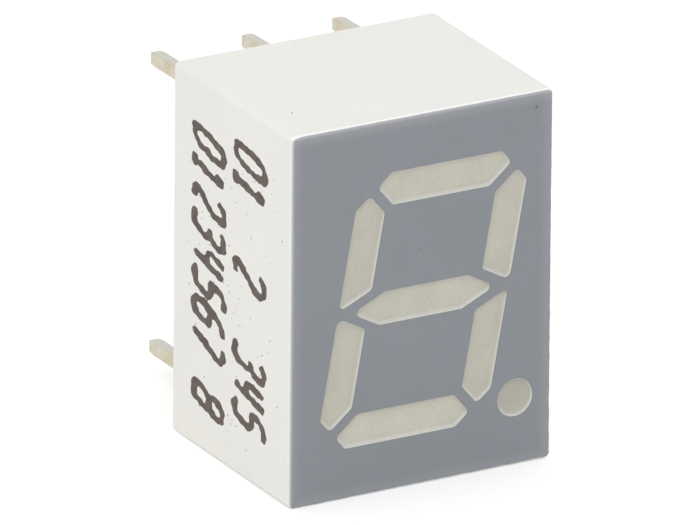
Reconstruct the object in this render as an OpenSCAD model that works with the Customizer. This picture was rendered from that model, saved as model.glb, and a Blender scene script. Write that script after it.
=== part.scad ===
// One-digit seven segment display with a decimal point and ten leads for a through-hole board.
// Frame: the origin is the middle of the lead pattern on the seating plane, +Y runs out of the
// back along the leads, +Z runs up the digit, and the display face looks towards -Y.

/* [Leads] */
// Distance between neighbouring leads in the outer rows
lead_pitch = 2.54; // [2:0.01:3]
// Distance between the upper and the lower outer row
row_space = 7.62; // [7:0.01:9]
// Distance between the upper and the lower inner row
inner_space = 5.08; // [4.6:0.01:5.6]
// Thickness of a lead, across the display
lead_t = 0.28; // [0.2:0.01:0.35]
// Width of a lead, up the display
lead_w = 0.38; // [0.3:0.01:0.45]
// Length of a lead behind the seating plane
lead_len = 3; // [2.5:0.1:8]
// Width that is left at the tip of a lead
tip_w = 0.31; // [0.15:0.01:0.34]
// Length of the tapered tip of a lead
tip_len = 0.25; // [0.1:0.05:0.6]

/* [Body] */
// Distance from the outermost leads to the side of the display face
side_margin = 1.095; // [0.99:0.005:2]
// Distance from the outer rows of leads to the end of the display face
end_margin = 1.02; // [0.9:0.01:2]
// Depth from the display face to the seating plane
body_d = 5.84; // [5:0.01:8]
// How far each side leans out from the display face to the back
body_draft = 0.01; // [0.005:0.005:0.1]
// Radius of the four corners that run from front to back
body_corner = 0.12; // [0.08:0.01:0.12]
// Radius of the edge round the display face
face_edge = 0.04; // [0.02:0.01:0.04]
// Thickness of the wall round the pocket in the back
wall = 0.45; // [0.3:0.01:0.5]
// Radius of the corners of the pocket in the back
pocket_corner = 0.3; // [0.1:0.05:0.5]

/* [Digit] */
// Height of the digit
digit_h = 7; // [6.5:0.1:7.6]
// Width of the digit before it slants
digit_w = 4.77; // [4.4:0.01:4.9]
// Slant of the digit in degrees
slant = 10; // [0:1:12]
// Height of the lying segments
bar_lying = 0.865; // [0.7:0.005:1]
// Width of the standing segments
bar_standing = 0.86; // [0.7:0.005:1]
// Gap between neighbouring segments at the corners of the digit
seg_gap = 0.25; // [0.1:0.01:0.35]
// Distance along the side of the digit between two standing segments
side_gap = 0.18; // [0.14:0.01:0.3]
// How far the outer corners of the digit are cut back
corner_cut = 0.85; // [0.6:0.05:1]
// Distance from the side of the digit to the tip of the middle segment
tip_inset = 0.375; // [0.3:0.005:0.5]
// Slope in degrees of the cuts round the tips of the middle segment
tip_slope = 26.565; // [20:0.005:35]
// How much nearer the lower left segment comes to the middle one than the others do
low_left_rise = 0.05; // [0:0.01:0.12]
// Radius of the corners of the segments
seg_round = 0.13; // [0.08:0.01:0.14]
// Shift of the digit to the right of the middle of the face
digit_x = 0.075; // [-0.1:0.005:0.1]
// Shift of the digit above the middle of the face
digit_z = -0.04; // [-0.2:0.01:0.2]

/* [Decimal point] */
// Diameter of the decimal point
dot_d = 1; // [0.9:0.01:1.06]
// Distance from the middle of the digit to the decimal point, along the slanted base line
dot_x = 3.12; // [3.06:0.01:3.16]
// Height of the decimal point's middle above the middle of the bottom segment
dot_lift = 0.04; // [-0.1:0.01:0.1]

/* [Light wells] */
// Depth over which a well keeps the outline of its segment
well_straight = 0.4; // [0.2:0.05:1]
// Length of the narrow inner end of a well
throat_len = 1.3; // [1.15:0.05:1.5]
// Width of the narrow inner end of a well
throat_w = 0.62; // [0.5:0.01:0.7]
// Diameter of the inner end of the decimal point's well
dot_throat = 0.8; // [0.76:0.01:0.84]

/* [Face print] */
// Thickness of the printed layer on the display face
print_t = 0.03; // [0.01:0.005:0.1]
// Bare edge round the printed layer
print_margin = 0.04; // [0.04:0.01:0.2]
// Radius of the corners of the printed layer
print_corner = 0.12; // [0.12:0.01:0.4]

/* [Circuit board] */
// Thickness of the circuit board
board_t = 0.8; // [0.6:0.1:1]
// Distance from the front of the circuit board to the seating plane
board_set = 2.2; // [1.8:0.1:2.6]
// Gap between the edge of the circuit board and the pocket
board_gap = 0.1; // [0.05:0.01:0.2]
// Radius of the corners of the circuit board
board_corner = 0.2; // [0.05:0.05:0.4]
// Height of the two rests that hold the circuit board off the pocket's floor
rest_h = 0.1; // [0.05:0.01:0.2]
// Width of the two rests
rest_w = 0.35; // [0.25:0.05:0.4]
// Length of the two rests
rest_len = 3; // [1:0.5:4]

/* [Solder] */
// Diameter of the holes for the leads in the circuit board
hole_d = 0.55; // [0.53:0.01:0.6]
// Diameter of a solder fillet on the circuit board
fillet_d = 0.84; // [0.7:0.01:0.9]
// Diameter of a solder fillet where it ends on the lead
fillet_top_d = 0.52; // [0.5:0.01:0.56]
// Height of a solder fillet
fillet_h = 0.3; // [0.2:0.05:0.5]

/* [Chips and wires] */
// Side of a light-emitting chip
chip_w = 0.28; // [0.2:0.01:0.3]
// Thickness of a light-emitting chip
chip_t = 0.2; // [0.1:0.01:0.25]
// Thickness of a bond wire
wire_dia = 0.03; // [0.02:0.005:0.04]
// Distance between the two ends of a bond wire
wire_span = 0.6; // [0.5:0.01:0.7]
// Distance between the two ends of the decimal point's bond wire
dot_span = 0.34; // [0.3:0.01:0.36]
// Diameter of the bonds at the ends of a wire
bond_d = 0.08; // [0.06:0.01:0.1]
// Height of the ball bond on the chip
ball_h = 0.03; // [0.02:0.005:0.05]
// Height of the flat bond on the circuit board
stitch_h = 0.02; // [0.02:0.005:0.04]

/* [Cast resin] */
// Width of the raised rim of resin along the edge of a segment
rim_w = 0.045; // [0.02:0.005:0.07]
// How far the resin sinks inside that rim
rim_sink = 0.035; // [0.01:0.005:0.1]
// How far the resin stays below the seating plane at the back
back_sink = 0.15; // [0.05:0.01:0.4]

/* [Hidden] */

// Overlap that lets a cut run out past a face
over = 0.1;
// Smallest radius that the corner of an outline keeps when it is moved inwards
least_round = 0.01;
// Steps in each rounded corner of a segment, in each corner of the body and in its front edge
seg_steps = 4;
body_steps = 4;
edge_steps = 4;
$fn = 48;

body_w = 2 * (lead_pitch + side_margin);
body_h = row_space + 2 * end_margin;
pocket_w = body_w - 2 * wall;
pocket_h = body_h - 2 * wall;
board_w = pocket_w - 2 * board_gap;
board_h = pocket_h - 2 * board_gap;

// Depths along Y, from the display face to the seating plane at 0
face_y = -body_d;
floor_y = -(board_set + rest_h);
board_y = -board_set;
board_back_y = board_y + board_t;
resin_back_y = -back_sink;

// Half sizes of the digit, and how far a gap moves the edges beside it
half_w = digit_w / 2;
half_h = digit_h / 2;
mid_slope = tan(tip_slope);
corner_shift = seg_gap / 2 * sqrt(2);

function mirror_x(pts) = [for (i = [len(pts) - 1 : -1 : 0]) [-pts[i][0], pts[i][1]]];
function mirror_z(pts) = [for (i = [len(pts) - 1 : -1 : 0]) [pts[i][0], -pts[i][1]]];

// Outline of a lying end segment, of a standing segment and of the middle one, anticlockwise and upright
top_bar = let (inner = half_w - bar_lying - corner_shift, cut_x = half_w - (corner_cut + corner_shift) / 2,
               cut_z = half_h - (corner_cut - corner_shift) / 2)
    [[-inner, half_h - bar_lying], [inner, half_h - bar_lying], [cut_x, cut_z],
     [half_w - corner_cut, half_h], [corner_cut - half_w, half_h], [-cut_x, cut_z]];
function left_bar(rise = 0) = let (inner = bar_standing - half_w, low = side_gap / 2 - rise)
    [[-half_w, low], [inner, low + bar_standing * mid_slope],
     [inner, half_h - bar_standing - corner_shift],
     [(corner_cut - corner_shift) / 2 - half_w, half_h - (corner_cut + corner_shift) / 2],
     [-half_w, half_h - corner_cut]];
mid_bar = let (tip = half_w - tip_inset, flat = tip - bar_lying / 2 / mid_slope)
    [[-tip, 0], [-flat, -bar_lying / 2], [flat, -bar_lying / 2],
     [tip, 0], [flat, bar_lying / 2], [-flat, bar_lying / 2]];

// Segments a to g in order, and whether each one stands
SEGMENTS = [
    top_bar, mirror_x(left_bar()), mirror_z(mirror_x(left_bar())), mirror_z(top_bar),
    mirror_z(left_bar(low_left_rise)), left_bar(), mid_bar,
];
STANDING = [false, true, true, false, true, true, false];
LETTERS = ["a", "b", "c", "d", "e", "f", "g", "dp"];

// A point of the upright digit, slanted and moved to its place on the face
function on_face(p) = [digit_x + p[0] + p[1] * tan(slant), digit_z + p[1]];

// Middle and size of an outline's box
function column(pts, axis) = [for (p = pts) p[axis]];
function middle(pts) = [for (axis = [0, 1]) (min(column(pts, axis)) + max(column(pts, axis))) / 2];
function extent(pts, axis) = max(column(pts, axis)) - min(column(pts, axis));

// Middle of segment i on the face, and of the decimal point after the last segment
dot_level = dot_lift - (half_h - bar_lying / 2);
function light_at(i) = on_face(i < len(SEGMENTS) ? middle(SEGMENTS[i]) : [dot_x, dot_level]);

function unit(v) = v / norm(v);

// One corner of a convex outline as an arc of radius r from the side before it to the side after it
function corner_arc(before, p, after, r, steps) =
    let (u = unit(before - p), v = unit(after - p), half = acos(u * v) / 2, turn = 180 - 2 * half,
         centre = p + unit(u + v) * r / sin(half),
         from = p + u * r / tan(half) - centre, to = p + v * r / tan(half) - centre)
    [for (i = [0 : steps])
        centre + (from * sin((1 - i / steps) * turn) + to * sin(i / steps * turn)) / sin(turn)];

function rounded(pts, r, steps) = let (n = len(pts))
    [for (i = [0 : n - 1]) each corner_arc(pts[(i + n - 1) % n], pts[i], pts[(i + 1) % n], r, steps)];

// A convex outline with every side moved inwards by d
function inset(pts, d) = let (n = len(pts))
    [for (i = [0 : n - 1])
        let (p = pts[i], u = unit(pts[(i + n - 1) % n] - p), v = unit(pts[(i + 1) % n] - p))
        p + unit(u + v) * d / sin(acos(u * v) / 2)];

function rectangle(w, h) = [[-w / 2, -h / 2], [w / 2, -h / 2], [w / 2, h / 2], [-w / 2, h / 2]];

// The outline of segment i on the face, moved in by d and squeezed about its middle by k
function segment_outline(i, d = 0, k = [1, 1]) =
    let (c = middle(SEGMENTS[i]), r = max(seg_round - d, least_round),
         pts = rounded(inset(SEGMENTS[i], d), r, seg_steps))
    [for (p = pts) on_face([c[0] + (p[0] - c[0]) * k[0], c[1] + (p[1] - c[1]) * k[1]])];

// The outline of segment i's well at the board: its long side becomes the throat's length
function throat_outline(i) =
    let (size = STANDING[i] ? [throat_w, throat_len] : [throat_len, throat_w])
    segment_outline(i, 0, [size[0] / extent(SEGMENTS[i], 0), size[1] / extent(SEGMENTS[i], 1)]);

function at_depth(pts, y) = [for (p = pts) [p[0], y, p[1]]];

// A solid through outlines of equal length, listed from front to back, each anticlockwise from the front
module loft(rings) {
    n = len(rings[0]);
    last = len(rings) - 1;
    polyhedron(
        points = [for (r = rings) each r],
        faces = concat(
            [[for (j = [n - 1 : -1 : 0]) j]],
            [for (low = [0 : n : (last - 1) * n], j = [0 : n - 1]) let (next = (j + 1) % n, high = low + n)
                each [[low + j, low + next, high + next], [low + j, high + next, high + j]]],
            [[for (j = [0 : n - 1]) last * n + j]]
        )
    );
}

// An outline on the face, extruded from front_y to back_y
module slab(pts, front_y, back_y) {
    translate([0, back_y, 0]) rotate([90, 0, 0]) linear_extrude(back_y - front_y) polygon(pts);
}

// A round bar or cone along Y, with its diameters at the back and at the front
module post(back_d, front_d, front_y, back_y) {
    translate([0, back_y, 0]) rotate([90, 0, 0]) cylinder(d1 = back_d, d2 = front_d, h = back_y - front_y);
}

// The straight mouth and the narrowing funnel of segment i's well, as rings
function well_rings(i) = [
    at_depth(segment_outline(i), face_y + well_straight),
    at_depth(throat_outline(i), floor_y),
];

module segment_well(i) {
    loft(concat(
        [at_depth(segment_outline(i), face_y - over)], well_rings(i),
        [at_depth(throat_outline(i), floor_y + over)]
    ));
}

module segment_fill(i) {
    loft(concat(
        [at_depth(segment_outline(i, rim_w), face_y + rim_sink), at_depth(segment_outline(i), face_y)],
        well_rings(i), [at_depth(throat_outline(i), floor_y + rest_h / 2)]
    ));
}

// A body turned about the decimal point's axis from radii and depths
module dot_turned(profile) {
    at = light_at(len(SEGMENTS));
    translate([at[0], 0, at[1]]) rotate([90, 0, 0])
        rotate_extrude() polygon([for (p = profile) [p[0], -p[1]]]);
}

module dot_well() {
    dot_turned([
        [0, floor_y + over], [dot_throat / 2, floor_y + over], [dot_throat / 2, floor_y],
        [dot_d / 2, face_y + well_straight], [dot_d / 2, face_y - over], [0, face_y - over],
    ]);
}

module dot_fill() {
    dot_turned([
        [0, floor_y + rest_h / 2], [dot_throat / 2, floor_y + rest_h / 2], [dot_throat / 2, floor_y],
        [dot_d / 2, face_y + well_straight], [dot_d / 2, face_y],
        [dot_d / 2 - rim_w, face_y + rim_sink], [0, face_y + rim_sink],
    ]);
}

// The body's outline at depth y, moved in by d
function body_outline(y, d = 0) =
    let (lean = body_draft * (y - face_y) / body_d, size = 2 * (lean - d))
    rounded(rectangle(body_w + size, body_h + size), body_corner, body_steps);

module body_block() {
    edge = [for (i = [0 : edge_steps]) let (a = 90 * i / edge_steps, y = face_y + face_edge * (1 - cos(a)))
        at_depth(body_outline(y, face_edge * (1 - sin(a))), y)];
    loft(concat(edge, [at_depth(body_outline(0), 0)]));
}

module board_rests() {
    for (side = [-1, 1])
        translate([side * (pocket_w + over) / 2 - side * rest_w / 2 - (rest_w + over) / 2,
                   floor_y - over, -rest_len / 2])
            cube([rest_w + over, rest_h + over, rest_len]);
}

// White moulded shell with a light well for each segment and a pocket for the board
module housing() {
    color("whitesmoke") difference() {
        union() {
            difference() {
                body_block();
                slab(rounded(rectangle(pocket_w, pocket_h), pocket_corner, body_steps), floor_y, over);
            }
            board_rests();
        }
        for (i = [0 : len(SEGMENTS) - 1]) segment_well(i);
        dot_well();
    }
}

// Grey layer printed on the display face, open over every well
module face_print() {
    size = 2 * print_margin;
    dot = light_at(len(SEGMENTS));
    color("#8b8e92") translate([0, face_y, 0]) rotate([90, 0, 0]) linear_extrude(print_t) difference() {
        polygon(rounded(rectangle(body_w - size, body_h - size), print_corner, body_steps));
        for (i = [0 : len(SEGMENTS) - 1]) polygon(segment_outline(i));
        translate(dot) circle(d = dot_d);
    }
}

module board_blank() {
    slab(rounded(rectangle(board_w, board_h), board_corner, body_steps), board_y, board_back_y);
}

// Leads 1 to 5 run along the bottom from the left, 6 to 10 along the top from the right;
// every second lead stands in the inner row
function lead_at(i) =
    let (low = i <= 5, step = low ? i - 3 : 8 - i, space = step % 2 == 0 ? row_space : inner_space)
    [step * lead_pitch / 2, 0, (low ? -1 : 1) * space / 2];

LEADS = [for (i = [1 : 10]) lead_at(i)];

// Insulating board that carries the chips and holds the leads
module circuit_board() {
    color("#c9b98a") difference() {
        board_blank();
        for (at = LEADS) translate(at) post(hole_d, hole_d, board_y - over, board_back_y + over);
    }
}

// Flat tinned lead with a tapered tip, from the front of the board to behind the seating plane
module lead(at) {
    side = [[board_y, lead_w / 2], [board_y, -lead_w / 2], [lead_len - tip_len, -lead_w / 2],
            [lead_len, -tip_w / 2], [lead_len, tip_w / 2], [lead_len - tip_len, lead_w / 2]];
    color("#cdc8b4") translate(at - [lead_t / 2, 0, 0])
        rotate([90, 0, 90]) linear_extrude(lead_t) polygon(side);
}

// The cone that a solder joint rises to behind the board
module solder_fillet() {
    post(fillet_top_d, fillet_d, board_back_y, board_back_y + fillet_h);
}

// Ten solder joints, each filling its hole round the lead and rising to a fillet
module solder_joints() {
    color("#b9b9b4") for (at = LEADS) difference() {
        translate(at) union() {
            post(hole_d, hole_d, board_y, board_back_y + over / 2);
            solder_fillet();
        }
        lead(at);
    }
}

// The frame of one light: its middle on the board, its long side along the local X
module at_light(i) {
    at = light_at(i);
    turn = i < len(SEGMENTS) && STANDING[i] ? slant - 90 : 0;
    translate([at[0], board_y, at[1]]) rotate([0, turn, 0]) children();
}

function span_of(i) = i < len(SEGMENTS) ? wire_span : dot_span;

module chip(i) {
    color("#6f6a58") at_light(i) translate([-span_of(i) / 2 - chip_w / 2, -chip_t, -chip_w / 2])
        cube([chip_w, chip_t, chip_w]);
}

// Bond wire: a ball bond on the chip, an arch and a flat bond on the board
module wire(i) {
    span = span_of(i);
    ball_top = chip_t + ball_h;
    drop = chip_t + ball_h / 2 - stitch_h / 2;
    mid = (chip_t + ball_h / 2 + stitch_h / 2) / 2;
    color("gold") at_light(i) union() {
        translate([-span / 2, 0, 0]) post(bond_d, bond_d, -ball_top, -chip_t);
        translate([span / 2, 0, 0]) post(bond_d, bond_d, -stitch_h, 0);
        translate([0, -mid, 0]) rotate([0, 0, 180 + atan(drop / span)]) rotate_extrude(angle = 180)
            translate([norm([span, drop]) / 2, 0]) circle(d = wire_dia);
    }
}

// Milky resin cast through the wells and round the board, in one piece
module cast_resin() {
    color("#c4c0b2") difference() {
        union() {
            for (i = [0 : len(SEGMENTS) - 1]) segment_fill(i);
            dot_fill();
            slab(rounded(rectangle(pocket_w, pocket_h), pocket_corner, body_steps), floor_y, resin_back_y);
        }
        board_rests();
        board_blank();
        for (at = LEADS) {
            translate(at) solder_fillet();
            lead(at);
        }
        for (i = [0 : len(SEGMENTS)]) {
            chip(i);
            wire(i);
        }
    }
}

housing();
face_print();
cast_resin();
circuit_board();
solder_joints();
for (i = [1 : 10])
    lead(lead_at(i));
for (i = [0 : 7]) {
    chip(i);
    wire(i);
}
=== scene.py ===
import math
import random
from contextlib import contextmanager
from functools import partial

import bmesh
import bpy
from mathutils import Matrix, Vector, noise


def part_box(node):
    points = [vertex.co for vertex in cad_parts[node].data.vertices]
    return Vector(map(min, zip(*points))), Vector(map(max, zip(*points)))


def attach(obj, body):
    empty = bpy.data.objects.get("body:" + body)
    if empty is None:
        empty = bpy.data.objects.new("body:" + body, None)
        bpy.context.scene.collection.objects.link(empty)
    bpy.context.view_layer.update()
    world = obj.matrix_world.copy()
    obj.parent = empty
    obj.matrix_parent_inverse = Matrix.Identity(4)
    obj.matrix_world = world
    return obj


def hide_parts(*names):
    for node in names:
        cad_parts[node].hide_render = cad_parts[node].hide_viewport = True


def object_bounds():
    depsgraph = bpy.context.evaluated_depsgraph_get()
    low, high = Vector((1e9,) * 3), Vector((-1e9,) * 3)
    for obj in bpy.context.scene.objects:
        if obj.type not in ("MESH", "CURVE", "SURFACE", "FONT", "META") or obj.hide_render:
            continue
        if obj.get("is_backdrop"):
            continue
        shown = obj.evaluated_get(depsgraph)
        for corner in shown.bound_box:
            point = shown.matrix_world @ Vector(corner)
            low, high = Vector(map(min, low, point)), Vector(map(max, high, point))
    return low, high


bl_info = {
    "name": "Seven segment display",
    "version": (1, 0, 0),
    "blender": (4, 5, 0),
    "location": "View3D > Sidebar > Display",
    "description": "Finishes the pieces of a one-digit seven segment display and sets its stage",
    "category": "Object",
}

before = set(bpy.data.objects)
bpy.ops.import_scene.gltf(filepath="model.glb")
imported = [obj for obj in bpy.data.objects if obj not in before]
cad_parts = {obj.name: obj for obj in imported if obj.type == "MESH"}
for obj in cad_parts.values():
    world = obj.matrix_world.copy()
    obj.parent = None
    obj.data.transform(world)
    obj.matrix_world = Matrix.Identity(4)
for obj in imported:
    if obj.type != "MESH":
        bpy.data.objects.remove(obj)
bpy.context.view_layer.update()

MM = 0.001
TOUCH = 0.002 * MM  # two places this near count as the same one
BODY = "root"
LEADS = sorted(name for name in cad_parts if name.startswith("lead_"))
CHIPS = sorted(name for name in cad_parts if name.startswith("chip_"))
WIRES = sorted(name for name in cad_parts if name.startswith("wire_"))

SHELL_LOW, SHELL_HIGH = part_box("housing")
PRINT_LOW, PRINT_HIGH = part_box("face_print")
RESIN_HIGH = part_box("cast_resin")[1]


def paint(red, green, blue):
    """A colour given in 0 to 255 screen values, as the linear values that shaders use."""

    def linear(value):
        level = value / 255
        return level / 12.92 if level <= 0.04045 else ((level + 0.055) / 1.055) ** 2.4

    return tuple(linear(value) for value in (red, green, blue))


# ---------------------------------------------------------------- settings
# Each of these makes a property: its name and what the panel says of it, its default and its limits


def length(name, description, default, low=0.0):
    return bpy.props.FloatProperty(
        name=name, description=description, default=default, min=low, unit="LENGTH", precision=6
    )


def angle(name, description, degrees):
    return bpy.props.FloatProperty(
        name=name, description=description, default=math.radians(degrees), unit="ROTATION"
    )


def share(name, description, default, high=1.0):
    return bpy.props.FloatProperty(name=name, description=description, default=default, min=0.0, max=high)


def colour(name, description, default):
    return bpy.props.FloatVectorProperty(
        name=name, description=description, default=default, min=0.0, max=1.0, size=3, subtype="COLOR"
    )


def count(name, description, default, low=0):
    return bpy.props.IntProperty(name=name, description=description, default=default, min=low)


class HousingSettings(bpy.types.PropertyGroup):
    plastic: colour("Plastic", "Colour of the moulded plastic", paint(240, 239, 235))
    rim_bevel: length("Rim bevel", "Size of the broken edge round the back rim", 0.03 * MM)
    grain: length("Grain", "Size of the fine texture on the mould's faces", 0.05 * MM)
    # How deep the painted highlight reaches on the rounded edge round the display face
    edge_highlight: length("Lip", "Depth of the brighter plastic round the display face", 0.1 * MM)


class FaceSettings(bpy.types.PropertyGroup):
    ink: colour("Ink", "Colour of the printed layer", paint(138, 142, 147))
    # Colour and width of the painted light along the layer's edges: a painted highlight along the upper and
    # left edges, and paler bands by all sides
    painted_edge_light: colour("Thinned", "Colour of the ink where it thins out", paint(226, 224, 223))
    thin: length("Thin", "Width of the strip of thin ink along the upper and left edges", 0.07 * MM)
    corner_width: length("Corner width", "Width of the layer's rounded upper left corner", 0.34 * MM)
    corner_height: length("Corner height", "Height of the layer's rounded upper left corner", 0.15 * MM)
    overrun: length("Overrun", "How far the printed layer runs on towards its lower corners", 0.036 * MM)
    rise: length("Rise", "How far the printed layer runs on past its upper edge", 0.024 * MM)
    wave: length("Wave", "How far the printed layer's lower and right edges waver", 0.022 * MM)
    calm_wave: length("Calm wave", "How far the printed layer's upper and left edges waver", 0.008 * MM)
    wave_length: length("Wave length", "Distance between two waves of the printed edge", 0.34 * MM)
    cut: length("Cut", "Distance between two corners of the printed edge", 0.06 * MM)
    border: length("Border", "Width of the strip that moves with the printed edge", 0.15 * MM)


class ResinSettings(bpy.types.PropertyGroup):
    resin: colour("Resin", "Colour of the milky resin", paint(194, 191, 178))
    # The edge colour serves the resin's pale rim over the white wall, and also the painted highlight where
    # the rim turns up
    edge: colour("Edge", "Colour of the resin where it thins out over the white wall", paint(224, 227, 223))
    dish: length("Dish", "How far the resin sinks again inside the rim of a window", 0.008 * MM)
    dish_width: length("Dish width", "Width of the hollow next to the rim of a window", 0.05 * MM)
    lying: share("Lying", "Brightness of the windows that lie", 1.035, 2.0)
    lowest: share("Lowest", "Brightness of the lowest window that lies", 1.09, 2.0)
    standing: share("Standing", "Brightness of the windows that stand", 0.985, 2.0)
    point: share("Point", "Brightness of the decimal point's window", 0.86, 2.0)
    climb: length("Climb", "How far the resin climbs the walls and the leads at the back", 0.09 * MM)
    climb_width: length("Climb width", "Width of the resin that climbs at the back", 0.16 * MM)


class LeadSettings(bpy.types.PropertyGroup):
    tin: colour("Tin", "Colour of the tin plating", paint(208, 204, 190))
    stain: colour("Stain", "Colour of the warm stains in the plating", paint(196, 178, 136))
    sheared: colour("Sheared", "Colour of a lead's sheared sides", paint(205, 206, 197))
    edge: length("Edge", "Radius of a lead's edges", 0.03 * MM)
    upper_droop: length("Upper droop", "How far the upper leads' tips hang below their roots", 0.06 * MM)
    lower_droop: length("Lower droop", "How far the lower leads' tips hang below their roots", 0.03 * MM)


class MarkingSettings(bpy.types.PropertyGroup):
    ink: colour("Ink", "Colour of the sprayed marking", paint(88, 75, 69))
    height: length("Height", "Height of a digit", 1.46 * MM)
    width: length("Width", "Width of a digit", 0.46 * MM)
    pitch: length("Pitch", "Distance between neighbouring digits", 0.745 * MM)
    lean: share("Lean", "Sideways lean of a digit for each unit of its height", 0.21)
    stroke: length("Stroke", "Width of a stroke that runs up a digit", 0.2 * MM)
    stretch: share("Stretch", "How much a drop of ink is drawn out along the height of a digit", 1.4, 3.0)
    bead: length("Bead", "Distance between two drops of ink in a stroke", 0.2 * MM)
    unrest: length("Unrest", "How far a stroke strays from its line", 0.05 * MM)
    relief: length("Relief", "Height of the ink over the plastic", 0.008 * MM)
    low_start: length("Low start", "Distance from the top of the housing to the lower line", 1.2 * MM)
    low_foot: length("Low foot", "Distance from the back rim to the foot of the lower line", 1.06 * MM)
    high_start: length("High start", "Distance from the top of the housing to the upper line", 0.95 * MM)
    high_foot: length("High foot", "Distance from the back rim to the foot of the upper line", 3.12 * MM)
    spray: count("Spray", "Number of stray specks of ink", 110)
    seed: count("Seed", "Start of the random draws for the ink", 7, low=1)


class DustSettings(bpy.types.PropertyGroup):
    grime: colour("Grime", "Colour of the specks of dust", paint(116, 116, 114))


class StageSettings(bpy.types.PropertyGroup):
    floor: colour("Floor", "Colour of the floor", (0.9, 0.9, 0.9))
    glow: share("Glow", "Strength of the floor's own light to the camera", 0.27)
    sky: share("Sky", "Strength of the light from all round", 0.84, 2.0)
    key: bpy.props.FloatProperty(
        name="Key", description="Power of the main lamp", default=0.22, min=0.0, unit="POWER", precision=4
    )
    key_size: length("Key size", "Width of the main lamp", 180 * MM)
    key_place: bpy.props.FloatVectorProperty(
        name="Key place", description="Place of the main lamp", unit="LENGTH",
        default=(-150 * MM, -170 * MM, 260 * MM),
    )
    azimuth: angle("Azimuth", "Turn of the camera round the display", -29.255)
    elevation: angle("Elevation", "Height of the camera over the horizon", 21.453)
    roll: angle("Roll", "Turn of the camera about its own axis", 0.534)
    distance: length("Distance", "Distance from the camera to the lead pattern", 490.2 * MM)
    pan: length("Pan", "Shift of the camera to its right", 1.123 * MM)
    rise: length("Rise", "Shift of the camera upwards", -1.010 * MM, -1.0)
    lens: bpy.props.FloatProperty(name="Lens", description="Focal length", default=1028.6, unit="CAMERA")


# ---------------------------------------------------------------- mesh tools


def select_only(*pieces):
    """Selects the given objects and makes the first one active."""
    bpy.ops.object.select_all(action="DESELECT")
    for piece in pieces:
        piece.select_set(True)
    bpy.context.view_layer.objects.active = pieces[0]


@contextmanager
def editing(piece, mode="FACE"):
    """Opens a piece in edit mode with nothing selected, and leaves edit mode at the end."""
    select_only(piece)
    bpy.ops.object.mode_set(mode="EDIT")
    bpy.ops.mesh.select_mode(type=mode)
    bpy.ops.mesh.select_all(action="DESELECT")
    yield
    bpy.ops.object.mode_set(mode="OBJECT")


def pick(piece, kind, wanted):
    """Selects just those faces, edges or vertices of the piece in edit mode that wanted accepts."""
    bpy.ops.mesh.select_all(action="DESELECT")
    mesh = bmesh.from_edit_mesh(piece.data)
    for part in getattr(mesh, kind):
        if wanted(part):
            part.select_set(True)
    bmesh.update_edit_mesh(piece.data)


def place_vertices(piece, place):
    """Moves every vertex of a piece to where the function place puts it."""
    for vertex in piece.data.vertices:
        vertex.co = place(vertex.co)
    piece.data.update()


def copy_of(node, name):
    """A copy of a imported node, with its loose triangles merged into one skin."""
    piece = bpy.data.objects.new(name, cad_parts[node].data.copy())
    bpy.context.scene.collection.objects.link(piece)
    piece.data.materials.clear()
    select_only(piece)
    bpy.ops.mesh.customdata_custom_splitnormals_clear()
    with editing(piece):
        bpy.ops.mesh.select_all(action="SELECT")
        bpy.ops.mesh.remove_doubles(threshold=TOUCH / 2)
    return piece


def settle(piece):
    """Moves a piece's place into its mesh, so that its object lies at the origin."""
    select_only(piece)
    bpy.ops.object.transform_apply(location=True, rotation=True, scale=True)


def smooth(piece, degrees=35):
    """Shades a piece smooth over its gentle edges, with its large faces kept flat."""
    select_only(piece)
    bpy.ops.object.shade_smooth_by_angle(angle=math.radians(degrees))
    modifier = piece.modifiers.new("flat_faces", "WEIGHTED_NORMAL")
    modifier.keep_sharp = True
    bpy.ops.object.modifier_apply(modifier=modifier.name)


def join(pieces, name):
    """Joins the given objects into one piece."""
    select_only(*pieces)
    bpy.ops.object.join()
    piece = bpy.context.view_layer.objects.active
    piece.name = piece.data.name = name
    return piece


def hand_over(piece, material, slot, *nodes):
    """Gives a finished piece its material, its body and the nodes that it stands for."""
    piece.data.materials.clear()
    piece.data.materials.append(material)
    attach(piece, BODY)
    if nodes:
        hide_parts(*nodes)


def dress(nodes, material):
    """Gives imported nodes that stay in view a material."""
    for name in nodes:
        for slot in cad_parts[name].material_slots:
            slot.material = material


# ---------------------------------------------------------------- material tools


def shader(tree, kind, inputs=None, **settings):
    """Adds a node to a tree, sets its settings, and sets or links its named inputs."""
    made = tree.nodes.new(kind)
    for name, value in settings.items():
        setattr(made, name, value)
    for name, value in (inputs or {}).items():
        if isinstance(value, bpy.types.NodeSocket):
            tree.links.new(value, made.inputs[name])
        else:
            made.inputs[name].default_value = value
    return made


def compute(tree, operation, *values, clamp=False):
    """A Math node over sockets or numbers, as its output socket."""
    made = shader(tree, "ShaderNodeMath", dict(enumerate(values)), operation=operation, use_clamp=clamp)
    return made.outputs[0]


def blend(tree, factor, first, second, mode="MIX"):
    """A colour mixed from two by a factor, as an output socket."""
    made = shader(tree, "ShaderNodeMix", {0: factor}, data_type="RGBA", blend_type=mode)
    for place, value in ((6, first), (7, second)):
        if isinstance(value, bpy.types.NodeSocket):
            tree.links.new(value, made.inputs[place])
        else:
            made.inputs[place].default_value = (*value, 1.0)
    return made.outputs[2]


def remap(tree, value, low, high, to_low=0.0, to_high=1.0):
    """A value from low to high turned smoothly into one from to_low to to_high."""
    made = shader(
        tree, "ShaderNodeMapRange",
        {"Value": value, "From Min": low, "From Max": high, "To Min": to_low, "To Max": to_high},
        interpolation_type="SMOOTHSTEP",
    )
    return made.outputs["Result"]


def spread(tree, value, to_low=0.0, to_high=1.0):
    """A noise value, which mostly lies between 0.3 and 0.7, spread over a wider range."""
    return remap(tree, value, 0.3, 0.7, to_low, to_high)


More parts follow.
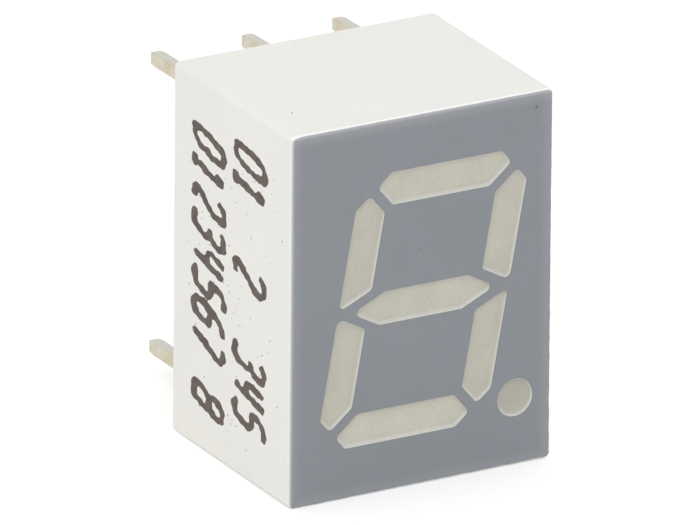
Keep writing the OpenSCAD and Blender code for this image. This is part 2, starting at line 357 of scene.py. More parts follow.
def new_group(name, inputs, outputs):
    """An empty node group with named float outputs and inputs. An input without a default is a vector."""
    group = bpy.data.node_groups.new(name, "ShaderNodeTree")
    for label, default in inputs.items():
        kind = "NodeSocketVector" if default is None else "NodeSocketFloat"
        socket = group.interface.new_socket(name=label, in_out="INPUT", socket_type=kind)
        if default is not None:
            socket.default_value = default
    for label in outputs:
        group.interface.new_socket(name=label, in_out="OUTPUT", socket_type="NodeSocketFloat")
    return group, group.nodes.new("NodeGroupInput").outputs, group.nodes.new("NodeGroupOutput").inputs


def grain_group():
    """Fine uneven texture: a height for bump, and a slow tone that drifts over the surface."""
    group, given, out = new_group(
        "surface_grain", {"Vector": None, "Size": 0.05 * MM, "Drift Size": 2 * MM}, ("Height", "Tone")
    )
    for result, size, detail in (("Height", "Size", 3.0), ("Tone", "Drift Size", 2.0)):
        scale = compute(group, "DIVIDE", 1.0, given[size])
        inputs = {"Vector": given["Vector"], "Scale": scale, "Detail": detail}
        group.links.new(shader(group, "ShaderNodeTexNoise", inputs).outputs["Fac"], out[result])
    return group


def speck_group():
    """Scattered round specks: one in each chosen cell, with a soft edge."""
    group, given, out = new_group(
        "specks", {"Vector": None, "Spacing": 0.5 * MM, "Radius": 0.1, "Share": 0.3}, ("Mask",)
    )
    cells = shader(
        group, "ShaderNodeTexVoronoi",
        {"Vector": given["Vector"], "Scale": compute(group, "DIVIDE", 1.0, given["Spacing"])},
    )
    parts = shader(group, "ShaderNodeSeparateColor", {"Color": cells.outputs["Color"]})
    radius = compute(group, "MULTIPLY", given["Radius"], parts.outputs["Green"])
    inside = compute(group, "SUBTRACT", radius, cells.outputs["Distance"])
    dot = compute(group, "DIVIDE", inside, compute(group, "MULTIPLY", given["Radius"], 0.3), clamp=True)
    chosen = compute(group, "LESS_THAN", parts.outputs["Red"], given["Share"])
    group.links.new(compute(group, "MULTIPLY", dot, chosen), out["Mask"])
    return group


def place_group(tree, name, inputs):
    """A node group placed in a tree, built the first time that it is asked for."""
    build = {"surface_grain": grain_group, "specks": speck_group}[name]
    group = bpy.data.node_groups.get(name) or build()
    return shader(tree, "ShaderNodeGroup", inputs, node_tree=group).outputs


def new_material(name):
    """A plain material: its tree, its coordinates on the object, and its Principled shader."""
    material = bpy.data.materials.new(name)
    material.use_nodes = True
    tree = material.node_tree
    at = shader(tree, "ShaderNodeTexCoord").outputs["Object"]
    return material, tree, at, tree.nodes["Principled BSDF"]


def normal_parts(tree):
    """The direction that the surface faces, as the sockets X, Y and Z."""
    normal = shader(tree, "ShaderNodeNewGeometry").outputs["Normal"]
    return shader(tree, "ShaderNodeSeparateXYZ", {"Vector": normal}).outputs


def bump(tree, surface, height, distance):
    """Roughens a surface by a height."""
    made = shader(tree, "ShaderNodeBump", {"Height": height, "Distance": distance, "Strength": 1.0})
    tree.links.new(made.outputs["Normal"], surface.inputs["Normal"])


def shade(value, factor):
    """A colour made lighter or darker."""
    return tuple(min(1.0, part * factor) for part in value)


# ---------------------------------------------------------------- materials


def white_plastic(settings):
    """Matt plastic with a fine grain, a few faint specks and a painted highlight on the rounded edge round
    the display face, strongest along the top.
    """
    material, tree, at, surface = new_material("white_plastic")
    grain = place_group(tree, "surface_grain", {"Vector": at, "Size": settings.grain, "Drift Size": 1.7 * MM})
    base = tuple(settings.plastic)
    tone = remap(tree, grain["Tone"], 0.35, 0.65)
    warm = (base[0], base[1] * 0.992, base[2] * 0.97)
    body = blend(tree, tone, warm, shade(base, 0.975))
    dust = place_group(tree, "specks", {"Vector": at, "Spacing": 0.42 * MM, "Radius": 0.11, "Share": 0.3})
    body = blend(tree, compute(tree, "MULTIPLY", dust["Mask"], 0.16), body, paint(120, 118, 124))
    place = shader(tree, "ShaderNodeSeparateXYZ", {"Vector": at}).outputs
    # Painted highlight: the rounded edge round the display face is blended towards white, most along the top
    # edge
    edge_highlight = remap(tree, place["Y"], SHELL_LOW.y + settings.edge_highlight, SHELL_LOW.y + settings.edge_highlight / 2, 0.0, 0.8)
    upper_edge = SHELL_HIGH.z - 0.04 * MM
    highlight_toward_top = remap(tree, place["Z"], upper_edge - 0.08 * MM, upper_edge, 0.1, 1.0)
    body = blend(tree, compute(tree, "MULTIPLY", edge_highlight, highlight_toward_top), body, (1.0, 1.0, 1.0))
    tree.links.new(body, surface.inputs["Base Color"])
    surface.inputs["Specular IOR Level"].default_value = 0.35
    rough = spread(tree, grain["Height"], 0.48, 0.6)
    tree.links.new(rough, surface.inputs["Roughness"])
    bump(tree, surface, grain["Height"], 0.0015 * MM)
    return material


def grey_ink(settings):
    """The printed layer: mottled ink, made paler along its edges by painted light."""
    material, tree, at, surface = new_material("grey_ink")
    base = tuple(settings.ink)
    grain = place_group(tree, "surface_grain", {"Vector": at, "Size": 0.035 * MM, "Drift Size": 0.9 * MM})
    wide = place_group(tree, "surface_grain", {"Vector": at, "Size": 0.3 * MM, "Drift Size": 2.4 * MM})
    green = (base[0] * 0.985, base[1] * 1.005, base[2] * 0.995)
    violet = (base[0] * 1.015, base[1] * 0.99, base[2] * 1.01)
    body = blend(tree, spread(tree, grain["Tone"]), green, violet)
    body = blend(tree, spread(tree, wide["Tone"], 0.0, 0.1), body, shade(base, 0.75))
    body = blend(tree, remap(tree, grain["Height"], 0.3, 0.75, 0.0, 0.16), body, shade(base, 1.5))
    place = shader(tree, "ShaderNodeSeparateXYZ", {"Vector": at}).outputs
    left = compute(tree, "SUBTRACT", place["X"], PRINT_LOW.x)
    right = compute(tree, "SUBTRACT", PRINT_HIGH.x, place["X"])
    foot = compute(tree, "SUBTRACT", place["Z"], PRINT_LOW.z)
    top = compute(tree, "SUBTRACT", PRINT_HIGH.z, place["Z"])
    sides = compute(tree, "MINIMUM", compute(tree, "MINIMUM", left, right), foot)
    # Painted light in strips along the edges: a painted highlight along the upper and left edges, and wider
    # paler bands by all sides. The width of each in units of the Thin setting, and how far it fades
    for gap, reach, most in ((sides, 5, 0.08), (top, 5, 0.12), (left, 1, 0.48), (top, 1, 0.3)):
        fade = remap(tree, gap, settings.thin * reach, 0.0, 0.0, most)
        body = blend(tree, fade, body, tuple(settings.painted_edge_light))
    tree.links.new(body, surface.inputs["Base Color"])
    tree.links.new(spread(tree, wide["Height"], 0.5, 0.64), surface.inputs["Roughness"])
    surface.inputs["Specular IOR Level"].default_value = 0.3
    bump(tree, surface, grain["Height"], 0.0012 * MM)
    return material


def milky_resin(settings):
    """Cloudy resin, toned for each window, pale on its rim, with a painted highlight where the rim turns up.
    """
    material, tree, at, surface = new_material("milky_resin")
    base = tuple(settings.resin)
    grain = place_group(tree, "surface_grain", {"Vector": at, "Size": 0.04 * MM, "Drift Size": 0.8 * MM})
    fine = place_group(tree, "surface_grain", {"Vector": at, "Size": 0.016 * MM, "Drift Size": 0.11 * MM})
    body = blend(tree, spread(tree, grain["Tone"]), shade(base, 0.965), shade(base, 1.035))
    body = blend(tree, spread(tree, fine["Tone"], 0.0, 0.16), body, shade(base, 1.3))
    body = blend(tree, spread(tree, fine["Height"], 0.0, 0.1), body, shade(base, 0.6))
    # The rim of a window is pale where the resin thins over the white wall. A painted highlight makes it
    # paler where it turns up and less pale where it turns down, and the hollow inside a lower rim gets the
    # painted highlight too
    normal = normal_parts(tree)
    steep = compute(tree, "SUBTRACT", 1.0, compute(tree, "ABSOLUTE", normal["Y"]))
    rim = remap(tree, steep, 0.01, 0.16, 0.0, 0.6)
    rim = compute(tree, "MULTIPLY", rim, remap(tree, normal["Z"], -0.3, 0.3, 0.3, 1.0))
    painted_skyward_highlight = remap(tree, normal["Z"], 0.02, 0.16, 0.0, 0.3)
    body = blend(tree, compute(tree, "MAXIMUM", rim, painted_skyward_highlight), body, tuple(settings.edge))
    tone = shader(tree, "ShaderNodeAttribute", attribute_name="tone").outputs["Fac"]
    body = shader(tree, "ShaderNodeVectorMath", {0: body, 1: tone}, operation="MULTIPLY").outputs["Vector"]
    tree.links.new(body, surface.inputs["Base Color"])
    tree.links.new(spread(tree, grain["Height"], 0.32, 0.42), surface.inputs["Roughness"])
    surface.inputs["Specular IOR Level"].default_value = 0.4
    bump(tree, surface, grain["Tone"], 0.004 * MM)
    return material


def tin_plating(settings):
    """Tin with warm stains, and a tone of its own on the sheared sides."""
    material, tree, at, surface = new_material("tin_plating")
    grain = place_group(tree, "surface_grain", {"Vector": at, "Size": 0.07 * MM, "Drift Size": 0.42 * MM})
    stained = remap(tree, grain["Tone"], 0.3, 0.75, 0.0, 0.6)
    body = blend(tree, stained, tuple(settings.tin), tuple(settings.stain))
    body = blend(tree, remap(tree, grain["Height"], 0.5, 0.85, 0.0, 0.2), body, paint(158, 150, 124))
    level = compute(tree, "ABSOLUTE", normal_parts(tree)["Z"])
    sheared = remap(tree, level, 0.5, 0.85, 0.0, 0.8)
    body = blend(tree, sheared, body, tuple(settings.sheared))
    tree.links.new(body, surface.inputs["Base Color"])
    surface.inputs["Metallic"].default_value = 0.8
    tree.links.new(spread(tree, grain["Height"], 0.3, 0.46), surface.inputs["Roughness"])
    bump(tree, surface, grain["Height"], 0.003 * MM)
    return material


def marking_ink(settings):
    """Dark sprayed ink, uneven in tone."""
    material, tree, at, surface = new_material("marking_ink")
    base = tuple(settings.ink)
    grain = place_group(tree, "surface_grain", {"Vector": at, "Size": 0.07 * MM, "Drift Size": 0.25 * MM})
    body = blend(tree, spread(tree, grain["Tone"]), shade(base, 0.82), shade(base, 1.25))
    body = blend(tree, remap(tree, grain["Height"], 0.6, 0.8, 0.0, 0.35), body, paint(128, 116, 112))
    tree.links.new(body, surface.inputs["Base Color"])
    tree.links.new(spread(tree, grain["Height"], 0.5, 0.75), surface.inputs["Roughness"])
    bump(tree, surface, grain["Height"], 0.002 * MM)
    return material


def dust_material(settings):
    """Matt grey dust."""
    material, tree, at, surface = new_material("dust")
    grain = place_group(tree, "surface_grain", {"Vector": at, "Size": 0.01 * MM, "Drift Size": 0.05 * MM})
    base = tuple(settings.grime)
    body = blend(tree, spread(tree, grain["Tone"]), shade(base, 0.8), shade(base, 1.3))
    tree.links.new(body, surface.inputs["Base Color"])
    surface.inputs["Roughness"].default_value = 0.9
    bump(tree, surface, grain["Height"], 0.004 * MM)
    return material


def laminate():
    """The woven board, with its threads showing through the resin."""
    material, tree, at, surface = new_material("laminate")
    strands = {"Vector": at, "Scale": 1 / (1.2 * MM), "Distortion": 0.6, "Detail": 1.0}
    weave = [shader(tree, "ShaderNodeTexWave", strands, bands_direction=axis) for axis in ("X", "Z")]
    height = compute(tree, "MAXIMUM", *(threads.outputs["Fac"] for threads in weave))
    grain = place_group(tree, "surface_grain", {"Vector": at, "Size": 0.08 * MM, "Drift Size": 1.5 * MM})
    body = blend(tree, height, paint(186, 168, 118), paint(206, 190, 142))
    body = blend(tree, spread(tree, grain["Tone"], 0.0, 0.3), body, paint(172, 160, 112))
    tree.links.new(body, surface.inputs["Base Color"])
    tree.links.new(spread(tree, grain["Height"], 0.35, 0.5), surface.inputs["Roughness"])
    bump(tree, surface, height, 0.006 * MM)
    return material


def metal(name, light, dark, size, rough, stretch=1.0):
    """A polished metal whose tone and gloss vary over the given size, drawn out along Y by stretch."""
    material, tree, at, surface = new_material(name)
    drawn = shader(tree, "ShaderNodeMapping", {"Vector": at, "Scale": (1.0, 1.0 / stretch, 1.0)})
    given = {"Vector": drawn.outputs["Vector"], "Size": size, "Drift Size": size * 4}
    grain = place_group(tree, "surface_grain", given)
    body = blend(tree, spread(tree, grain["Tone"]), light, dark)
    tree.links.new(body, surface.inputs["Base Color"])
    surface.inputs["Metallic"].default_value = 1.0
    gloss = spread(tree, grain["Height"], rough - 0.06, rough + 0.08)
    tree.links.new(gloss, surface.inputs["Roughness"])
    bump(tree, surface, grain["Height"], size * 0.05)
    return material


def crystal():
    """A chip of dark crystal with rough sawn patches."""
    material, tree, at, surface = new_material("crystal")
    grain = place_group(tree, "surface_grain", {"Vector": at, "Size": 0.02 * MM, "Drift Size": 0.12 * MM})
    sawn = remap(tree, grain["Height"], 0.45, 0.7)
    body = blend(tree, spread(tree, grain["Tone"]), paint(104, 98, 78), paint(126, 120, 98))
    body = blend(tree, compute(tree, "MULTIPLY", sawn, 0.3), body, paint(152, 146, 120))
    tree.links.new(body, surface.inputs["Base Color"])
    tree.links.new(remap(tree, sawn, 0.0, 1.0, 0.2, 0.45), surface.inputs["Roughness"])
    bump(tree, surface, grain["Height"], 0.002 * MM)
    return material


# ---------------------------------------------------------------- pieces


class DISPLAY_OT_housing(bpy.types.Operator):
    """Finish the white moulded shell"""

    bl_idname = "display.housing"
    bl_label = "Housing"

    def execute(self, context):
        settings = context.scene.display_housing
        shell = copy_of("housing", "moulded_shell")

        def back_rim(edge):
            at_back = all(abs(vertex.co.y - SHELL_HIGH.y) < TOUCH for vertex in edge.verts)
            return at_back and edge.calc_face_angle(0) > math.radians(60)

        with editing(shell, "EDGE"):
            pick(shell, "edges", back_rim)
            bpy.ops.mesh.bevel(offset=settings.rim_bevel, segments=3, affect="EDGES")
        smooth(shell)
        hand_over(shell, white_plastic(settings), "white_plastic", "housing")
        return {"FINISHED"}


def wavering(settings, co):
    """How far the printed edge draws in at a place, in units of its wave."""
    at = co / settings.wave_length
    return 0.6 * noise.noise(at) + 0.4 * noise.noise(at * 3.1) + 0.5


class DISPLAY_OT_face(bpy.types.Operator):
    """Finish the grey layer printed on the display face"""

    bl_idname = "display.face"
    bl_label = "Printed face"

    def execute(self, context):
        settings = context.scene.display_face
        layer = copy_of("face_print", "printed_face")
        low, high = PRINT_LOW, PRINT_HIGH
        sides = {0: (low.x, high.x), 2: (low.z, high.z)}  # axis 0 is X and axis 2 is Z

        def near(co, axis, reach=TOUCH):
            return min(abs(co[axis] - side) for side in sides[axis]) < reach

        def long_side(edge):
            first, second = (vertex.co for vertex in edge.verts)
            level = abs(first.y - second.y) < TOUCH and (first - second).length > MM
            return level and any(near(first, axis) and near(second, axis) for axis in sides)

        with editing(layer, "EDGE"):
            pick(layer, "faces", lambda face: abs(face.normal.y) < 0.01)
            bpy.ops.mesh.tris_convert_to_quads()
            pick(layer, "edges", long_side)
            cuts = int((high.z - low.z) / settings.cut)
            bpy.ops.mesh.subdivide(number_cuts=cuts, quadcorner="INNERVERT")

        wide, tall = settings.corner_width, settings.corner_height

        def place(co):
            co = co.copy()
            edge_x, edge_z = near(co, 0), near(co, 2)
            # The border is drawn out towards the lower corners
            if near(co, 0, settings.border) or near(co, 2, settings.border):
                across = (co.x - low.x) / (high.x - low.x)
                down = (high.z - co.z) / (high.z - low.z)
                co.x += settings.overrun * down * across
                co.z -= settings.overrun * down * (1 - across)
            # The upper left corner becomes a quarter of an ellipse
            away = Vector(((co.x - low.x) / wide - 1, (co.z - high.z) / tall + 1))
            if away.x < 0 < away.y and away.length > 1:
                away.normalize()
                co.x = low.x + wide * (away.x + 1)
                co.z = high.z + tall * (away.y - 1)
            if co.z > high.z - settings.border:
                co.z += settings.rise
            draw = wavering(settings, Vector((co.x, 0.0, co.z)))
            if edge_x:
                co.x -= math.copysign(draw * (settings.calm_wave if co.x < 0 else settings.wave), co.x)
            if edge_z:
                co.z -= math.copysign(draw * (settings.calm_wave if co.z > 0 else settings.wave), co.z)
            return co

        place_vertices(layer, place)
        select_only(layer)
        bpy.ops.object.shade_flat()
        hand_over(layer, grey_ink(settings), "grey_print", "face_print")
        return {"FINISHED"}


class DISPLAY_OT_resin(bpy.types.Operator):
    """Finish the cast resin: hollow windows in front and a surface that climbs at the back"""

    bl_idname = "display.resin"
    bl_label = "Cast resin"

    def tone_windows(self, cast, settings):
        """Stores the brightness of each selected window on its face and on the rim round it."""
        mesh = bmesh.from_edit_mesh(cast.data)
        layer = mesh.faces.layers.float.new("tone")
        for face in mesh.faces:
            face[layer] = 1.0
        for face in [face for face in mesh.faces if face.select]:
            spans = ([vertex.co[axis] for vertex in face.verts] for axis in (0, 2))
            wide, tall = (max(span) - min(span) for span in spans)
            if wide > 2 * tall:
                low = face.calc_center_median().z < -RESIN_HIGH.z / 2
                tone = settings.lowest if low else settings.lying
            else:
                tone = settings.standing if tall > 1.2 * wide else settings.point
            for beside in {beside for vertex in face.verts for beside in vertex.link_faces}:
                beside[layer] = tone
        bmesh.update_edit_mesh(cast.data)

    def execute(self, context):
        settings = context.scene.display_resin
        cast = copy_of("cast_resin", "cast_windows")

        def window(face):
            centre = face.calc_center_median()
            return face.normal.y < -0.99 and centre.y < SHELL_LOW.y + 0.2 * MM

        def back(face):
            return face.normal.y > 0.99 and face.calc_center_median().y > RESIN_HIGH.y - TOUCH

        with editing(cast):
            pick(cast, "faces", window)
            bpy.ops.mesh.dissolve_faces()
            pick(cast, "faces", window)
            bpy.ops.mesh.inset(thickness=settings.dish_width, depth=-settings.dish, use_individual=True)
            self.tone_windows(cast, settings)
            pick(cast, "faces", back)
            bpy.ops.transform.translate(value=(0, settings.climb, 0))
            # Three steps make the climb steep at first and then ever flatter
            for part in (0.55, 0.3, 0.15):
                width = settings.climb_width * (1 - part) / 2
                bpy.ops.mesh.inset(thickness=width, depth=-settings.climb * part)
        smooth(cast, degrees=50)
        hand_over(cast, milky_resin(settings), "milky_resin", "cast_resin")
        return {"FINISHED"}


class DISPLAY_OT_leads(bpy.types.Operator):
    """Finish the ten tinned leads"""

    bl_idname = "display.leads"
    bl_label = "Leads"

    def execute(self, context):
        settings = context.scene.display_leads
        material = tin_plating(settings)
        first = copy_of(LEADS[0], "bar_" + LEADS[0])
        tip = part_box(LEADS[0])[1].y
        taper = max(vertex.co.y for vertex in first.data.vertices if vertex.co.y < tip - TOUCH)
        root = SHELL_HIGH.y
        with editing(first, "EDGE"):
            pick(first, "edges", lambda edge: edge.calc_face_angle(0) > math.radians(45))
            bpy.ops.mesh.bevel(offset=settings.edge, segments=3, affect="EDGES")
            pick(first, "edges", lambda edge: all(abs(end.co.y - taper) < TOUCH for end in edge.verts))
            bpy.ops.mesh.mark_sharp()
            bpy.ops.mesh.select_all(action="SELECT")
            bpy.ops.mesh.bisect(plane_co=(0, root, 0), plane_no=(0, 1, 0))
        smooth(first, degrees=40)
        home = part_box(LEADS[0])[0]
        bars = {LEADS[0]: first}
        for name in LEADS[1:]:
            bar = bpy.data.objects.new("bar_" + name, first.data.copy())
            context.scene.collection.objects.link(bar)
            bar.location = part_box(name)[0] - home
            settle(bar)
            bars[name] = bar

        def hung(droop, co):
            return co - Vector((0, 0, droop * max(0, co.y - root) / (tip - root)))

        for name, bar in bars.items():
            droop = settings.upper_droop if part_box(name)[0].z > 0 else settings.lower_droop
            place_vertices(bar, partial(hung, droop))
            hand_over(bar, material, "tinned_metal", name)
        return {"FINISHED"}


class DISPLAY_OT_inside(bpy.types.Operator):
    """Dress the board, its solder joints, the chips and the bond wires"""

    bl_idname = "display.inside"
    bl_label = "Inside"

    def execute(self, context):
        dress(["circuit_board"], laminate())
        solder = metal("solder", paint(196, 196, 192), paint(168, 168, 165), size=0.05 * MM, rough=0.3)
        dress(["solder_joints"], solder)
        dress(CHIPS, crystal())
        gold = metal("gold", paint(228, 184, 96), paint(204, 158, 74), size=0.01 * MM, rough=0.22, stretch=6)
        dress(WIRES, gold)
        return {"FINISHED"}


# The strokes of each digit in a cell one wide and one high, from its lower left corner
DIGITS = {
    "0": [[(0.2, 0), (0.8, 0), (1, 0.15), (1, 0.85), (0.8, 1), (0.2, 1), (0, 0.85), (0, 0.15), (0.2, 0)]],
    "1": [[(0.1, 0.74), (0.5, 1), (0.5, 0)], [(0.15, 0), (0.85, 0)]],
    "2": [[(0, 0.82), (0.2, 1), (0.8, 1), (1, 0.82), (1, 0.64), (0, 0), (1, 0)]],
    "3": [[(0, 0.88), (0.2, 1), (0.8, 1), (1, 0.85), (1, 0.66), (0.75, 0.53), (0.35, 0.53)],
          [(0.75, 0.53), (1, 0.38), (1, 0.15), (0.8, 0), (0.2, 0), (0, 0.12)]],
    "4": [[(0.15, 1), (0, 0.42), (1, 0.42)], [(0.85, 1), (0.8, 0)]],
    "5": [[(1, 1), (0.08, 1), (0, 0.56), (0.75, 0.6), (1, 0.44), (1, 0.15), (0.8, 0), (0.2, 0), (0, 0.12)]],
    "6": [[(0.9, 1), (0.4, 0.94), (0, 0.6), (0, 0.15), (0.2, 0), (0.8, 0), (1, 0.15), (1, 0.42), (0.8, 0.56),
           (0.05, 0.5)]],
    "7": [[(0, 1), (1, 1), (0.35, 0)]],
    "8": [[(0.2, 0), (0.8, 0), (1, 0.14), (1, 0.38), (0.8, 0.52), (0.2, 0.52), (0, 0.38), (0, 0.14),
           (0.2, 0)],
          [(0.2, 0.52), (0, 0.66), (0, 0.86), (0.2, 1), (0.8, 1), (1, 0.86), (1, 0.66), (0.8, 0.52)]],
}
# The two lines of digits: low is the one nearer the back rim
LINES = {"low": "01234567 8", "high": "01  2  345"}
# The ink is drawn in whole millimetres: X is its thickness, Y runs up the digits and Z along the line
SKIN_CELL = 0.03  # size of the cells that make the strokes one skin
DROP_POINTS = 4  # points of a stroke for each drop of ink
END_WIDTHS = (0.7, 0.95, 1)  # width of a stroke at its end, at the point next to it, and from there on
SPECK_RADII = (0.008, 0.011, 0.014, 0.018)
SPECK_LEVELS = (0.1, 5.6)  # least and greatest distance of a speck from the back rim
SPECK_USUAL = 3.4  # distance at which most of them lie
SPECK_REACH = (0.5, 9.0)  # the stretch along the line that they lie on


def softened(points, rounds=2):
    """A path with its inner corners cut back, so that they turn in a curve."""
    for _ in range(rounds):
        cut = [first.lerp(second, part) for first, second in zip(points, points[1:]) for part in (0.25, 0.75)]
        closed = (points[0] - points[-1]).length < TOUCH / MM
        points = [*cut, cut[0]] if closed else [points[0], *cut[1:-1], points[-1]]
    return points


def resampled(points, step):
    """Points along a path at even steps."""
    path = []
    for first, second in zip(points, points[1:]):
        parts = max(1, round((second - first).length / step))
        path += [first.lerp(second, i / parts) for i in range(parts)]
    return path + [points[-1]]


def specks_at(balls, name):
    """Small balls, given by their middles and radii, as one object."""
    bpy.ops.object.select_all(action="DESELECT")
    bpy.ops.mesh.primitive_ico_sphere_add(subdivisions=2, radius=1.0)
    first = bpy.context.view_layer.objects.active
    specks = []
    for place, radius in balls:
        speck = bpy.data.objects.new("speck", first.data.copy())
        bpy.context.scene.collection.objects.link(speck)
        speck.location = place
        speck.scale = (radius, radius, radius)
        specks.append(speck)
    bpy.data.objects.remove(first)
    piece = join(specks, name)
    settle(piece)
    return piece


# Specks of dust, each by the face it lies on, its two places on that face in millimetres and its radius
DUST = [
    ("front", 3.16, 4.43, 0.032),
    ("front", -0.08, 1.3, 0.02),
    ("top", -2.8, -4.38, 0.015),
    ("left", -5.45, 2.02, 0.014),
]


class DISPLAY_OT_dust(bpy.types.Operator):
    """Lay a few specks of dust on the front, the top and the left side"""

    bl_idname = "display.dust"
    bl_label = "Dust"

    def execute(self, context):
        settings = context.scene.display_dust
        balls = []
        for face, first, second, radius in DUST:
            first, second = first * MM, second * MM
            place = {
                "front": (first, PRINT_LOW.y, second),
                "top": (first, second, SHELL_HIGH.z),
                "left": (SHELL_LOW.x, first, second),
            }[face]
            balls.append((place, radius * MM))
        dust = specks_at(balls, "dust")
        smooth(dust, degrees=60)
        hand_over(dust, dust_material(settings), "grey_print")
        return {"FINISHED"}


class DISPLAY_OT_marking(bpy.types.Operator):
    """Spray two lines of plain digits on the left side of the housing"""

    bl_idname = "display.marking"
    bl_label = "Marking"

    def stroke_path(self, settings, stroke, start, foot):
        """The middle line of a stroke of the digit whose cell begins at start and stands on foot."""
        corners = []
        for across, up in stroke:
            rise = up * settings.height
            run = start + across * settings.width + rise * settings.lean
            corners.append(Vector((0, (foot + rise) / settings.stretch, run)) / MM)
        return resampled(softened(corners), settings.bead / MM / DROP_POINTS)

    def lay_stroke(self, settings, curve, path, sway):
        """Adds a stroke to a curve, swollen by its drops of ink and narrower at its ends."""
        bead = settings.bead / MM
        spline = curve.splines.new("POLY")
        spline.points.add(len(path) - 1)
        for i, (point, at) in enumerate(zip(spline.points, path)):
            stray = noise.noise_vector(at / bead + sway) * settings.unrest / MM
            point.co = (0, at.y + stray.y, at.z + stray.z, 1)
            drop = 0.15 * math.cos(i * math.tau / DROP_POINTS)
            swell = 0.45 * noise.noise(at / (1.1 * bead) - sway) + drop
            end = min(i, len(path) - 1 - i, len(END_WIDTHS) - 1)
            point.radius = (1.05 + swell) * END_WIDTHS[end]

    def sprayed_digits(self, context, settings, rng):
        """Both lines of digits as one skin."""
        curve = bpy.data.curves.new("sprayed_digits", "CURVE")
        curve.dimensions = "3D"
        curve.bevel_depth = settings.stroke / MM / 2
        curve.bevel_resolution = 2
        curve.use_fill_caps = True
        for line, text in LINES.items():
            start, foot = (getattr(settings, f"{line}_{what}") for what in ("start", "foot"))
            for cell, digit in enumerate(text):
                for stroke in DIGITS.get(digit, ()):
                    path = self.stroke_path(settings, stroke, start + cell * settings.pitch, foot)
                    self.lay_stroke(settings, curve, path, Vector((rng.uniform(0, 9), 0, 0)))
        digits = bpy.data.objects.new("sprayed_digits", curve)
        context.scene.collection.objects.link(digits)
        select_only(digits)
        bpy.ops.object.convert(target="MESH")
        digits = context.view_layer.objects.active
        digits.data.remesh_voxel_size = SKIN_CELL
        bpy.ops.object.voxel_remesh()
        with editing(digits, "VERT"):
            bpy.ops.mesh.select_all(action="SELECT")
            bpy.ops.mesh.vertices_smooth(factor=0.5, repeat=4)
        return digits

    def sprayed_specks(self, settings, rng):
        """Stray droplets of ink round both lines."""
        balls = []
        for _ in range(settings.spray):
            level = rng.triangular(*SPECK_LEVELS, SPECK_USUAL) / settings.stretch
            place = (0, level, rng.uniform(*SPECK_REACH))
            balls.append((place, rng.choice(SPECK_RADII)))
        return specks_at(balls, "sprayed_specks")

    def execute(self, context):
        settings = context.scene.display_marking
        rng = random.Random(settings.seed)
        noise.seed_set(settings.seed)
        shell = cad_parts["housing"].data.vertices
        front = [vertex.co.x for vertex in shell if vertex.co.y < SHELL_LOW.y + 0.1 * MM]
        lean_in = (min(front) - SHELL_LOW.x) / (SHELL_HIGH.y - SHELL_LOW.y)
        parts = [self.sprayed_digits(context, settings, rng), self.sprayed_specks(settings, rng)]
        marking = join(parts, "sprayed_marking")

        def on_side(co):
            up = co.y * settings.stretch * MM
            side = SHELL_LOW.x + lean_in * up
            height = co.x * MM * settings.relief / (settings.stroke / 2)
            return Vector((side + height, SHELL_HIGH.y - up, SHELL_HIGH.z - co.z * MM))

        place_vertices(marking, on_side)
        smooth(marking, degrees=60)
        hand_over(marking, marking_ink(settings), "grey_print")
        return {"FINISHED"}


# ---------------------------------------------------------------- stage


def backdrop_rays(tree):
    """One for rays from the camera, a mirror or a glass, and nought for all others."""
    path = shader(tree, "ShaderNodeLightPath").outputs
    seen = compute(tree, "MAXIMUM", path["Is Camera Ray"], path["Is Glossy Ray"])
    return compute(tree, "MAXIMUM", seen, path["Is Transmission Ray"])


def floor_material(settings):
    """Matt pale floor that looks white to the camera but keeps the shadow."""
    material, tree, at, surface = new_material("floor")
    grain = place_group(tree, "surface_grain", {"Vector": at, "Size": 2 * MM, "Drift Size": 60 * MM})
    base = tuple(settings.floor)
    body = blend(tree, spread(tree, grain["Tone"]), shade(base, 0.995), shade(base, 1.005))
    tree.links.new(body, surface.inputs["Base Color"])
    surface.inputs["Roughness"].default_value = 0.9
    surface.inputs["Specular IOR Level"].default_value = 0.1
    strength = compute(tree, "MULTIPLY", backdrop_rays(tree), settings.glow)
    glow = shader(tree, "ShaderNodeEmission", {"Strength": strength}).outputs["Emission"]
    both = shader(tree, "ShaderNodeAddShader", {0: surface.outputs["BSDF"], 1: glow})
    tree.links.new(both.outputs["Shader"], tree.nodes["Material Output"].inputs["Surface"])
    return material


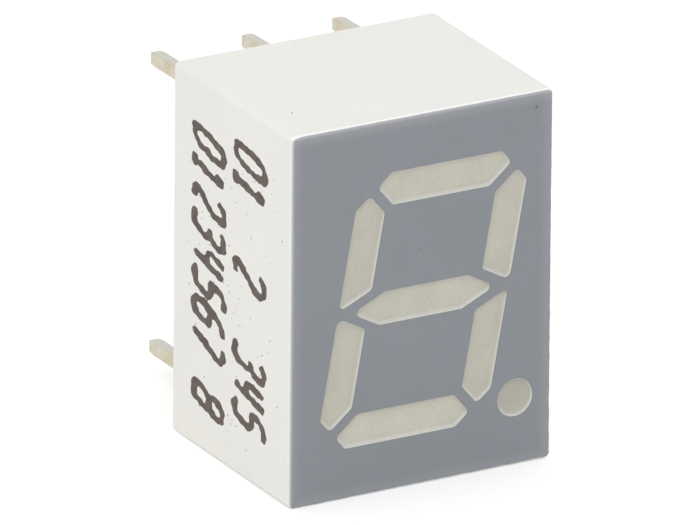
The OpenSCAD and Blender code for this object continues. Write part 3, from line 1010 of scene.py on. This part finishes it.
class DISPLAY_OT_stage(bpy.types.Operator):
    """Set the floor, the lights and the camera"""

    bl_idname = "display.stage"
    bl_label = "Stage"

    def add_key(self, context, settings, aim):
        lamp = bpy.data.lights.new("key", "AREA")
        lamp.shape = "DISK"
        lamp.size = settings.key_size
        lamp.energy = settings.key
        holder = bpy.data.objects.new("key", lamp)
        context.scene.collection.objects.link(holder)
        holder.location = settings.key_place
        holder.rotation_euler = (aim - Vector(settings.key_place)).to_track_quat("-Z", "Y").to_euler()

    def add_sky(self, context, settings):
        world = bpy.data.worlds.new("studio")
        world.use_nodes = True
        context.scene.world = world
        tree = world.node_tree
        rest = compute(tree, "MULTIPLY", backdrop_rays(tree), 1 - settings.sky)
        strength = compute(tree, "ADD", settings.sky, rest)
        background = tree.nodes["Background"]
        tree.links.new(strength, background.inputs["Strength"])
        background.inputs["Color"].default_value = (1.0, 1.0, 1.0, 1.0)

    def add_camera(self, context, settings):
        turn, rise = settings.azimuth, settings.elevation
        back = Vector((math.sin(turn) * math.cos(rise), -math.cos(turn) * math.cos(rise), math.sin(rise)))
        right = Vector((0, 0, 1)).cross(back).normalized()
        up = back.cross(right)
        axes = Matrix((right, up, back)).transposed() @ Matrix.Rotation(settings.roll, 3, "Z")
        data = bpy.data.cameras.new("camera")
        data.lens = settings.lens
        data.clip_start = 10 * MM
        data.clip_end = 10.0
        camera = bpy.data.objects.new("camera", data)
        context.scene.collection.objects.link(camera)
        place = axes @ Vector((settings.pan, settings.rise, settings.distance))
        camera.matrix_world = Matrix.Translation(place) @ axes.to_4x4()
        context.scene.camera = camera

    def add_floor(self, context, settings, level):
        bpy.ops.object.select_all(action="DESELECT")
        bpy.ops.mesh.primitive_plane_add(size=4.0, location=(0, 0, level))
        floor = context.view_layer.objects.active
        floor.name = "floor"
        with editing(floor):
            bpy.ops.mesh.select_all(action="SELECT")
            bpy.ops.mesh.subdivide(number_cuts=8)
        floor.data.materials.append(floor_material(settings))
        settle(floor)
        floor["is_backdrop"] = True

    def execute(self, context):
        settings = context.scene.display_stage
        low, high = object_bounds()
        self.add_floor(context, settings, low.z)
        self.add_key(context, settings, aim=(low + high) / 2)
        self.add_sky(context, settings)
        self.add_camera(context, settings)
        context.scene.view_settings.view_transform = "Standard"
        return {"FINISHED"}


# ---------------------------------------------------------------- panel and registration


class DISPLAY_PT_panel(bpy.types.Panel):
    bl_idname = "DISPLAY_PT_panel"
    bl_label = "Seven segment display"
    bl_space_type = "VIEW_3D"
    bl_region_type = "UI"
    bl_category = "Display"

    def draw(self, context):
        for name, (group, operators) in SECTIONS.items():
            box = self.layout.box()
            settings = getattr(context.scene, name)
            for label in group.__annotations__:
                box.prop(settings, label)
            for operator in operators:
                box.operator(operator.bl_idname)


SECTIONS = {
    "display_housing": (HousingSettings, (DISPLAY_OT_housing, DISPLAY_OT_inside)),
    "display_face": (FaceSettings, (DISPLAY_OT_face,)),
    "display_resin": (ResinSettings, (DISPLAY_OT_resin,)),
    "display_leads": (LeadSettings, (DISPLAY_OT_leads,)),
    "display_marking": (MarkingSettings, (DISPLAY_OT_marking,)),
    "display_dust": (DustSettings, (DISPLAY_OT_dust,)),
    "display_stage": (StageSettings, (DISPLAY_OT_stage,)),
}


def register():
    for name, (group, operators) in SECTIONS.items():
        bpy.utils.register_class(group)
        setattr(bpy.types.Scene, name, bpy.props.PointerProperty(type=group))
        for operator in operators:
            bpy.utils.register_class(operator)
    bpy.utils.register_class(DISPLAY_PT_panel)


def unregister():
    bpy.utils.unregister_class(DISPLAY_PT_panel)
    for name, (group, operators) in reversed(SECTIONS.items()):
        for operator in reversed(operators):
            bpy.utils.unregister_class(operator)
        delattr(bpy.types.Scene, name)
        bpy.utils.unregister_class(group)


def main():
    register()
    bpy.ops.display.housing()
    bpy.ops.display.face()
    bpy.ops.display.resin()
    bpy.ops.display.leads()
    bpy.ops.display.inside()
    bpy.ops.display.marking()
    bpy.ops.display.dust()
    bpy.ops.display.stage()


if __name__ == "__main__":
    main()
